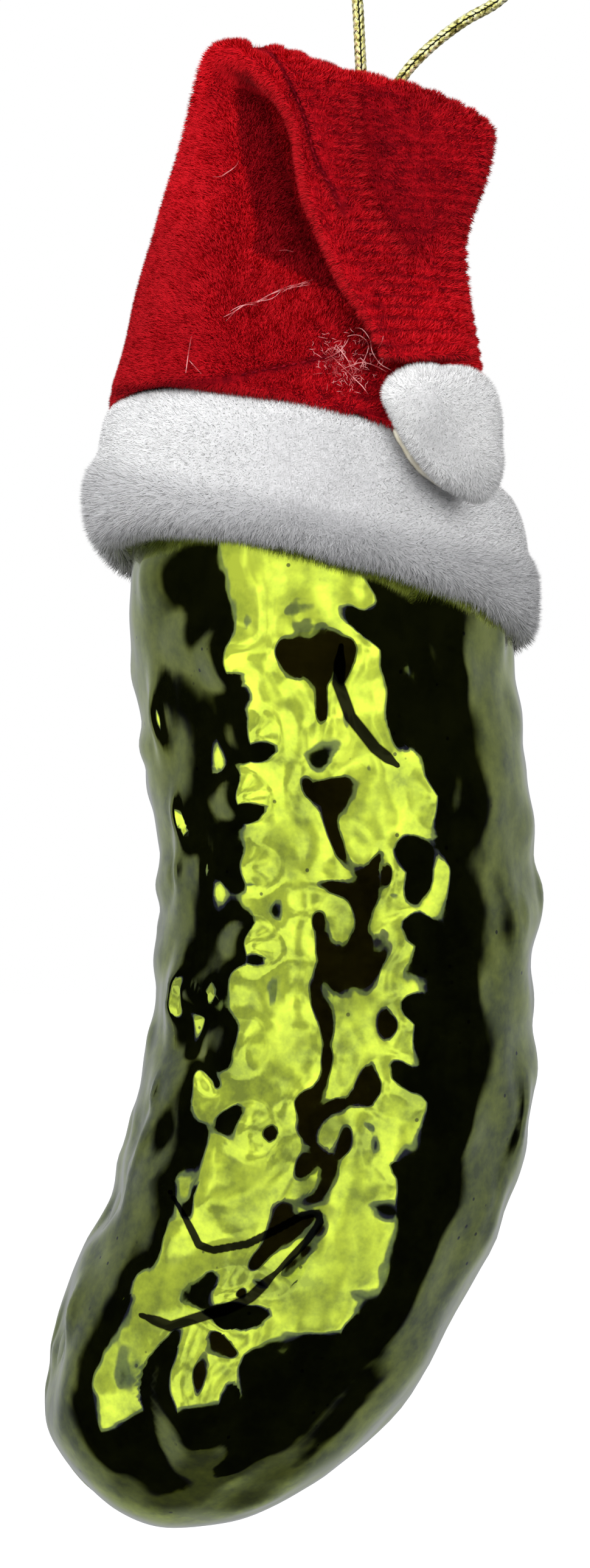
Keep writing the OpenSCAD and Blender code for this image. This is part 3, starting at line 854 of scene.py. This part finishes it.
# Folds of the crown in the front view, in mm right and up: the flap's left edge, the far side of
# the hollow beside it, the seam in the flap, the fold at its right and the rolled hem
FLAP_EDGE = [
    (-5.5, 129.2), (-4.3, 126.1), (-3.4, 123.2), (-2.8, 120.8), (-2.0, 118.4), (-1.3, 116.0),
    (0, 113.1), (1.7, 109.7), (3.8, 106.8),
]
HOLLOW = [
    *FLAP_EDGE, (2.9, 107.6), (0, 109.2), (-3.4, 110.9), (-5.8, 112.1), (-5.5, 114.5), (-6.0, 117.0),
    (-6.5, 119.8), (-7.0, 122.8), (-7.2, 127.4), (-7.2, 129.2), (-5.5, 129.2),
]
PANEL_EDGE = HOLLOW[len(FLAP_EDGE) : -1]
SEAM = [
    (-5.6, 130.9), (-4.2, 130.3), (-3.1, 129.0), (-2.3, 127.3), (-1.5, 125.6), (-0.9, 123.7),
    (-0.4, 121.5), (0.2, 119.8), (1.0, 118.5), (1.8, 116.8), (2.4, 115.5),
]
VALLEY = [
    (3.6, 128.0), (3.8, 126.1), (4.1, 123.2), (4.4, 120.8), (4.7, 118.4), (5.6, 116.0), (6.8, 114.1),
    (8.2, 112.1), (9.9, 110.4),
]
ROLL = [(-17.3, 100.2), (-7.8, 100.7), (-2.9, 101.7), (-0.65, 102.2), (2.2, 102.9)]
# Heights up the flap, and where its back is at each
FLAP_HEIGHTS, FLAP_BACKS = [105, 111, 117, 122.5, 126, 130], [-12.6, -8.2, -4.8, -2.1, -0.7, 0]


def right_of(line, up):
    """How far right a line that runs down lies at each height."""
    across, heights = zip(*line[::-1], strict=True)
    return np.interp(up, heights, across)


def before_flap_back(points):
    """How far each point lies in front of the flap's back, in mm."""
    return np.interp(right_and_up(points)[1], FLAP_HEIGHTS, FLAP_BACKS) - points[:, 1] / MM


def crown_folds(points):
    """Shares in the hollow, under the flap's edge and left of the valley, and how far right of it.

    The last is in metres, 0 at the left, and comes with the share that the valley has faded in.
    """
    right, up = right_and_up(points)
    off, _ = line_off(points, HOLLOW)
    front = points[:, 1] < 0.8 * MM
    hollow = within(points, HOLLOW) * eased(off, -0.1 * MM, 0.5 * MM) * front
    under = ridge(line_off(points, FLAP_EDGE)[0], 2.4)
    off, along = line_off(points, VALLEY)
    beyond = right > right_of(VALLEY, up)
    fade = eased(along, 0, 0.12) * eased(1 - along, 0, 0.12) * front
    return hollow, under, ~beyond * ridge(off, 0.9) * fade, beyond * off, fade


# A knitted row's height at the hem, and how much less it gets for each mm up, as far as the fold.
# Past it so many rows go to a mm. ROW_SUM, about 1 / ROW_SHRINK, turns a row's height into its number
ROW_AT_HEM, ROW_SHRINK, HEM_UP, FOLD_UP = 1.1, 0.0175, 105, 127
ROW_SUM, ROWS_ABOVE_FOLD = 57, 1.3


def knit_rows(points):
    """How deep each point lies between two rows of the knit, which shows right of the seam."""
    right, up = right_and_up(points)
    drift = rough(points, 7, 8) * 0.5 + right * 0.03
    row_high = ROW_AT_HEM - ROW_SHRINK * (np.minimum(up, FOLD_UP) - HEM_UP)
    above = np.maximum(up - FOLD_UP, 0) * ROWS_ABOVE_FOLD
    row = (above + drift - ROW_SUM * np.log(row_high)) % 1
    worn = np.clip(0.95 + 0.5 * rough(points, 4, 21), 0, 1)
    return eased(right - right_of(SEAM, up), 0.2, 1.2) * worn * np.exp(-(((row - 0.5) / 0.21) ** 2))


def crown_detail(root):
    """The share of its length that each hair keeps, less in seams and rows, and its painted shade and
    light, darker in folds, seams and rows.
    """
    right, up = right_and_up(root)
    in_front = root[:, 1] < 0
    hollow, under, left, off, fade = crown_folds(root)
    beyond = (off > 0) * ridge(off, 6.5) * fade
    knit = knit_rows(root)
    seam = ridge(line_off(root, SEAM)[0], 0.42) * in_front
    roll = ridge(line_off(root, ROLL)[0], 0.4) * in_front
    # Painted light and shade: lighter at the low right and the top and a painted highlight on the
    # panel's edge; painted shade on the flap, at the left and lower left, in the hollow and under the
    # flap's edge, beside the valley, and in the knit's rows, the seam and the rolled hem. The noise adds
    # random variation
    edge = ridge(line_off(root, PANEL_EDGE)[0], 0.9) * (hollow < 0.1) * in_front
    on_flap = before_flap_back(root) > 0
    lighter = np.maximum(eased(right, 6, 12) * eased(112 - up, 0, 8), eased(up, 126, 130))
    tone = 0.93 - 0.03 * on_flap * (1 - lighter) + 0.5 * lighter - 0.08 * rough(root, 2.5, 17)
    tone += 0.14 * edge - 0.08 * (right < 3) - 0.16 * eased(-right, 4, 13) * eased(119 - up, 0, 8)
    tone *= 1 - hollow * (0.43 + 0.06 * under)
    tone *= 1 - 0.25 * left - 0.42 * beyond * (1 - 0.7 * lighter)
    tone *= (1 - 0.6 * knit) * (1 - 0.75 * seam) * (1 - 0.55 * roll)
    return (1 - 0.5 * knit) * (1 - 0.75 * seam) * (1 - 0.6 * roll), np.clip(tone, 0, 1)


def folded(points, normals):
    """The crown's points with the hollow, the valley and the rolled hem pressed in."""
    hollow, _, left, off, fade = crown_folds(points)
    facing = np.clip(-normals[:, 1] * 2, 0, 1)
    valley = left + (off > 0) * ridge(off, 3.2) * fade
    back = hollow * (before_flap_back(points) < 0) * 1.5 + valley * facing * 1.1
    hem = eased(2.2 - hem_height(points), 0, 2.2) * 0.35
    outward = unit(points * (1, 1, 0) - (at(-1.0, 0).x, 0, 0))
    points = points + (back[:, None] * (0, 1, 0) + hem[:, None] * outward) * MM
    points[:, 2] -= hem * MM
    return points


def slimmed(points, normals):
    """The crown's points drawn in at the right, by the pompom and in the middle, and at the left."""
    right, up = right_and_up(points)
    points[:, 0] -= eased(right, 11, 17) * eased(9 - hem_height(points), 0, 7) * 1.7 * MM
    slim = eased(normals[:, 0], 0.2, 0.8) * np.exp(-(((up - 114) / 5) ** 2)) * 0.9
    points[:, 0] += (eased(-normals[:, 0], 0.2, 0.8) * 0.4 - slim) * MM
    return points


def red_crown():
    obj = from_cad("hat_crown", "crown_cloth", 3)
    normals = normals_of(obj)
    points = slimmed(folded(points_of(obj), normals), normals)
    groove = ridge(line_off(points, SEAM)[0], 0.55) * (points[:, 1] < 0) * 0.5
    relief = rough(points, 6, 5) * 0.25 - knit_rows(points) * 0.14 - groove
    points += normals * (relief * MM)[:, None]
    moved_to(obj, points)
    # The cloth gets the same painted shade and light as its hairs
    attribute(obj.data, "tone", crown_detail(points)[1])
    dressed(obj, "red_cloth")
    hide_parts("hat_crown")
    cover = in_the_open(obj)
    for name, part in halves(points):
        count, wide = (120000, 0.12) if name == "back" else (190000, 0.07)
        pile = grow_pile(
            obj, f"crown_pile_{name}", count, long=0.68, wide=wide, cover=cover & part,
            comb=(0, 0, -0.25), stray=0.2, clump=0.14, even=6, seed=11, detail=crown_detail,
        )
        dressed(pile, "red_pile")
    return obj


def brim_detail(root):
    """Longer hairs along the brim's lower edge, darker there with painted shade."""
    low = 1 - eased(-below_brim(root), -0.5, 2.5)
    return 1 + 1.5 * low, 1 - 0.5 * low


def white_brim():
    obj = from_cad("hat_brim", "brim_cloth", 2)
    points, normals = points_of(obj), normals_of(obj)
    points += normals * (rough(points, 5, 9) * 0.25 * MM)[:, None]
    # Its top leans in at the right, where it is sewn to the crown
    right, up = right_and_up(points)
    points[:, 0] -= eased(right, 4, 14) * eased(up, 86, 94) * 1.7 * MM
    moved_to(obj, points)
    attribute(obj.data, "tone", np.ones(len(points)))
    dressed(obj, "white_cloth")
    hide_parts("hat_brim")
    outward = unit(points * (1, 1, 0) - (at(-0.6, 0).x, 0, 0))
    cover = np.einsum("ij,ij->i", normals_of(obj) * (1, 1, 0), outward) > -0.35
    for name, part in halves(points):
        count, wide = (110000, 0.13) if name == "back" else (190000, 0.08)
        pile = grow_pile(
            obj, f"brim_pile_{name}", count, long=0.7, wide=wide, cover=cover & part,
            comb=(0, 0, -0.15), stray=0.5, clump=0.03, even=14, seed=12, detail=brim_detail,
        )
        dressed(pile, "white_pile")
    return obj


# A point of the bead of glue at the pompom's lower left, and the way from it into the pompom
BEAD_AT, INTO_POMPOM = np.array(at(6.0, 98.1)), np.array((0.739, 0, 0.674))


def white_pompom():
    obj = from_cad("pompom", "pompom_core", 2)
    points, normals = points_of(obj), normals_of(obj)
    middle = (points.min(0) + points.max(0)) / 2
    out = unit(unit((middle - np.array(at(-0.6, 0))) * (1, 1, 0)) + (0, -1, 0))
    side, up = np.cross(out, (0, 0, 1)), np.array((0, 0, 1))
    flat = np.stack([(points - middle) @ side, (points - middle) @ up, (points - middle) @ out], 1)
    reach = np.abs(flat).max(0)
    # Squarer seen from in front, and flatter below and in front
    corner = np.abs(flat[:, :2] / reach[:2]).min(1)
    flat[:, :2] *= (1 + 0.2 * corner)[:, None]
    flat[:, 2] *= np.where(flat[:, 2] > 0, 0.78, 1)
    flat[:, 1] *= np.where(flat[:, 1] < 0, 0.88, 1)
    points = middle + flat[:, :1] * side + flat[:, 1:2] * up + (flat[:, 2:] - 1.4 * MM) * out
    # Its lower left corner is drawn in to the bead of glue and lies down flat on the brim
    beyond = (BEAD_AT - points) @ INTO_POMPOM
    points += np.outer(np.maximum(beyond + 1.2 * MM, 0) * 0.75, INTO_POMPOM)
    height = (points - middle) @ out + reach[2] * 0.7
    points -= np.outer(np.maximum(height, 0) * 0.5 * eased(beyond, -4.5 * MM, 0), out)
    points += normals * (rough(points, 4, 10) * 0.35 * MM)[:, None]
    moved_to(obj, points)
    attribute(obj.data, "tone", np.ones(len(points)))
    dressed(obj, "white_cloth")
    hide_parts("pompom")
    pile = grow_pile(
        obj, "pompom_pile", 150000, long=1.0, wide=0.08, cover=np.ones(len(points)),
        comb=(0, 0, -0.1), stray=0.45, clump=0.08, even=14, seed=13,
    )
    dressed(pile, "pompom_pile")
    return obj


crown, brim, pompom = red_crown(), white_brim(), white_pompom()
crown_surface, white_surface = surface_of(crown), surface_of(brim, pompom)
glass_pickle(surface_of(crown, brim))


# Thread and glue on the hat


def on_front(surface, x, z, out):
    """The place on the front of a surface at mm right and up, this many mm off it."""
    start = at(x, z, -60)
    hit, normal, _, _ = surface.ray_cast(start, Vector((0, 1, 0)))
    return None if hit is None else hit + normal * (out * MM)


def uneven(along):
    """Thickness along a drawn-out string: slimmer at both ends and here and there in between."""
    slim = 1 - 0.5 * np.abs(2 * along / along.max() - 1) ** 3
    return slim * (1 + 0.25 * np.sin(along / (0.45 * MM)) * np.sin(along / (1.1 * MM)))


def strings(name, surface, lines, width, out, finish):
    """Thin threads that lie on a surface along lines of (mm right, mm up), joined in one piece."""
    made = []
    for k, line in enumerate(lines):
        line = np.array(line, float)
        length = travelled(line)[-1]
        places = points_along(line, np.linspace(0, length, max(int(length / 0.35), 3)))
        spots = [on_front(surface, x, z, out) for x, z in places]
        route = np.array([p for p in spots if p is not None])
        if len(route) < 3:
            continue
        route[1:-1] = (route[:-2] + route[1:-1] + route[2:]) / 3
        made.append(tube(f"{name}_{k}", route, lambda u, v: uneven(v) * width / 2 * MM, 6))
    only(made[0]).name = name
    for obj in made[1:]:
        obj.select_set(True)
    if made[1:]:
        bpy.ops.object.join()
    return dressed(made[0], finish)


# A stitch's length, and how far apart the stitches are in the seam and in the rolled hem, in mm
STITCH, SEAM_STEP, HEM_STEP = 0.5, 0.78, 0.85


def stitches():
    line = np.array(SEAM)
    seam = [
        points_along(line, (start, start + STITCH)) + ((-0.1, 0), (0.1, 0))
        for start in np.arange(1.9, travelled(line)[-1] - 0.5, SEAM_STEP)
    ]
    strings("seam_stitches", crown_surface, seam, 0.22, 0.3, "red_thread")
    across = np.arange(-6.5, 2.0, HEM_STEP)
    heights = np.interp(across, *zip(*ROLL, strict=True))
    hem = [[(x, z), (x + STITCH, z + 0.1)] for x, z in zip(across, heights, strict=True)]
    strings("hem_stitches", crown_surface, hem, 0.22, 0.3, "red_thread")


# Threads of glue drawn out over the plush, in mm right and up
GLUE_THREADS = [
    [(-8.8, 118.9), (-8.3, 118.7), (-7.8, 119.1), (-7.5, 119.5), (-7.0, 119.6), (-6.8, 120.3)],
    [(-3.4, 112.0), (-2.9, 112.3), (-2.2, 111.9)],
    [(-10.5, 104.4), (-10.8, 102.8), (-11.0, 101.2)],
    [(-10.7, 102.2), (-10.2, 101.6), (-9.7, 101.1)],
    [(3.1, 104.9), (3.5, 105.1), (3.9, 104.8), (4.6, 103.9), (4.5, 103.0), (5.2, 101.9), (6.3, 101.3)],
    [(2.5, 104.2), (3.4, 104.5), (4.1, 104.1), (4.4, 103.2), (4.0, 102.2), (3.6, 101.4)],
    [(0.8, 102.8), (1.6, 102.0), (2.6, 101.0), (3.6, 99.9), (4.3, 99.2)],
    [(1.6, 103.3), (2.4, 102.4), (2.9, 101.3), (3.1, 100.3)],
    [(0.6, 102.2), (1.5, 102.6), (2.2, 103.2), (2.6, 104.0)],
    [(2.0, 101.2), (3.0, 101.8), (4.0, 102.0), (5.0, 101.7), (5.9, 101.0)],
]
# A streak of glue, and the first and last point of each of the threads in it
GLUE_STREAK = np.array([
    (-8.1, 105.8), (-7.3, 106.5), (-6.4, 107.0), (-5.4, 107.3), (-4.2, 107.9), (-2.9, 108.5),
    (-1.6, 108.9), (-0.7, 109.0),
])
STREAK_PARTS = [(0, 3), (0, 4), (1, 5), (2, 5), (3, 6), (3, 7), (4, 8), (5, 8), (5, 8), (6, 8)]
# Tangles of very fine threads of glue: the middle, how far they spread, and how many they are
GLUE_TANGLES = [((1.2, 102.2), 1.0, 110), ((2.6, 100.8), 0.9, 60), ((4.4, 102.4), 1.1, 50)]
POMPOM_BEAD = [(5.4, 98.3), (5.9, 97.2), (6.8, 95.5), (8.2, 93.4), (9.9, 91.9), (11.9, 90.9)]
RED_FIBRE = [(16.7, 81.2), (17.2, 80.6), (17.5, 80.2), (17.4, 79.7)]


def glue_strings():
    bead = strings("pompom_bead", white_surface, [POMPOM_BEAD], 0.7, 0.5, "hot_glue")
    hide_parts("pompom_glue")
    strings("red_fibre", white_surface, [RED_FIBRE], 0.2, 0.8, "red_thread")
    strings("glue_threads", crown_surface, GLUE_THREADS, 0.1, 0.65, "glue_threads")
    rng = np.random.default_rng(31)
    streak = []
    for first, end in STREAK_PARTS:
        line = GLUE_STREAK[first:end]
        streak.append(line + rng.normal(0, 0.16, line.shape) + rng.normal(0, 0.16, 2))
    strings("glue_streak", crown_surface, streak, 0.07, 0.62, "glue_threads")
    smear = []
    for place, spread, count in GLUE_TANGLES:
        for _ in range(count):
            middle = place + rng.normal(0, spread, 2) * (0.7, 1)
            way = rng.uniform(0, 2 * np.pi)
            curl = rng.normal(0, 1.8)
            long = rng.uniform(0.3, 0.9)
            line = [
                middle + long * v * np.array((np.cos(way + curl * v), np.sin(way + curl * v)))
                for v in (-0.5, -0.17, 0.17, 0.5)
            ]
            smear.append(line)
    strings("glue_smear", crown_surface, smear, 0.05, 0.68, "glue_threads")


stitches()
glue_strings()


# Stage and light


def stage():
    nothing_selected()
    bpy.ops.mesh.primitive_plane_add(size=8, location=at(0, -60))
    floor = bpy.context.object
    floor.name = "floor"
    t = finish_of("pale_floor")
    seen = t.node("ShaderNodeLightPath", output="Is Camera Ray")
    matt = t.node("ShaderNodeBsdfDiffuse", None, (0.86, 0.86, 0.86, 1))
    glow = t.node("ShaderNodeEmission", None, (1, 1, 1, 1), 1.3)
    t.out(t.node("ShaderNodeMixShader", None, seen * 0.8, matt, glow))
    floor.data.materials.append(FINISHES["pale_floor"])
    floor.visible_glossy = False
    floor.visible_diffuse = False


def studio():
    """What the glass mirrors: a lit tent in front, with the lens in it, a dark room and a backdrop."""
    world = bpy.data.worlds.new("studio")
    bpy.context.scene.world = world
    t = Tree(world)
    heading = t.node("ShaderNodeTexCoord", output="Generated")
    x, y, z = (t.node("ShaderNodeSeparateXYZ", None, heading, output=k) for k in range(3))
    turn = x.math("ARCTAN2", -y) * (180 / math.pi)
    rise = z.math("ARCSINE") * (180 / math.pi)
    aside = turn.math("ABSOLUTE")
    leaning = turn + rise.math("MAXIMUM", 0) * 1.1

    def window(left, right, bottom, top):
        """1 inside these degrees, with soft edges. The right edge leans to the left above 0."""
        level = turn.over(left, left + 2) * leaning.over(right, right - 2)
        return level * rise.over(bottom, bottom + 2) * rise.over(top, top - 2)

    tent, bright = window(-70, 55, -35, 66), window(-67, 52, -32, 62)
    lens_off = (turn / 12) * (turn / 12) + (rise / 18) * (rise / 18)
    lens, lens_rim = lens_off.over(1.1, 0.95), lens_off.over(1.55, 1.35)
    folds = t.noise(heading, 3.4, 1.5, 0.4)
    cloth = t.colour(folds.over(0.36, 0.6), (0.66, 0.68, 0.42), (1.45, 1.5, 0.9))
    backdrop = t.colour(aside.over(120, 165), (0.2, 0.2, 0.34), (0.36, 0.37, 0.38))
    backdrop = t.colour(rise.over(-48, -72), backdrop, (0.07, 0.07, 0.08))
    mirrored = t.colour(aside.over(93, 110), (0.005, 0.005, 0.006), backdrop)
    mirrored = t.colour(tent, mirrored, (0.3, 0.33, 0.6))
    mirrored = t.colour(bright, mirrored, cloth)
    mirrored = t.colour(lens_rim * bright, mirrored, (0.22, 0.24, 0.4))
    mirrored = t.colour(lens * bright, mirrored, (0.012, 0.008, 0.005))
    glossy, through, seen = (
        t.node("ShaderNodeLightPath", output=f"Is {kind} Ray")
        for kind in ("Glossy", "Transmission", "Camera")
    )
    matt = t.colour(rise.over(-50, 10), (0.22, 0.22, 0.23), (0.63, 0.63, 0.63))
    colour = t.colour(glossy.math("MAXIMUM", through), matt, mirrored)
    colour = t.colour(seen, colour, (1, 1, 1))
    t.out(t.node("ShaderNodeBackground", None, colour, 1.0), "ShaderNodeOutputWorld")


def lamps():
    for name, place, size, power in (
        ("key", (-0.53, -0.5, 0.15), 0.6, 5.6),
        ("fill", (0.42, -0.66, 0.05), 0.5, 3.2),
        ("top", (0.0, -0.1, 0.7), 0.6, 3.0),
    ):
        nothing_selected()
        spot = Vector(place)
        aim = (at(0, 80) - spot).to_track_quat("-Z", "Y").to_euler()
        bpy.ops.object.light_add(type="AREA", location=spot, rotation=aim)
        lamp = bpy.context.object
        lamp.name = name
        lamp.data.size, lamp.data.energy = size, power
        lamp.visible_glossy = False


stage()
studio()
lamps()

bpy.context.scene.view_settings.view_transform = "Standard"
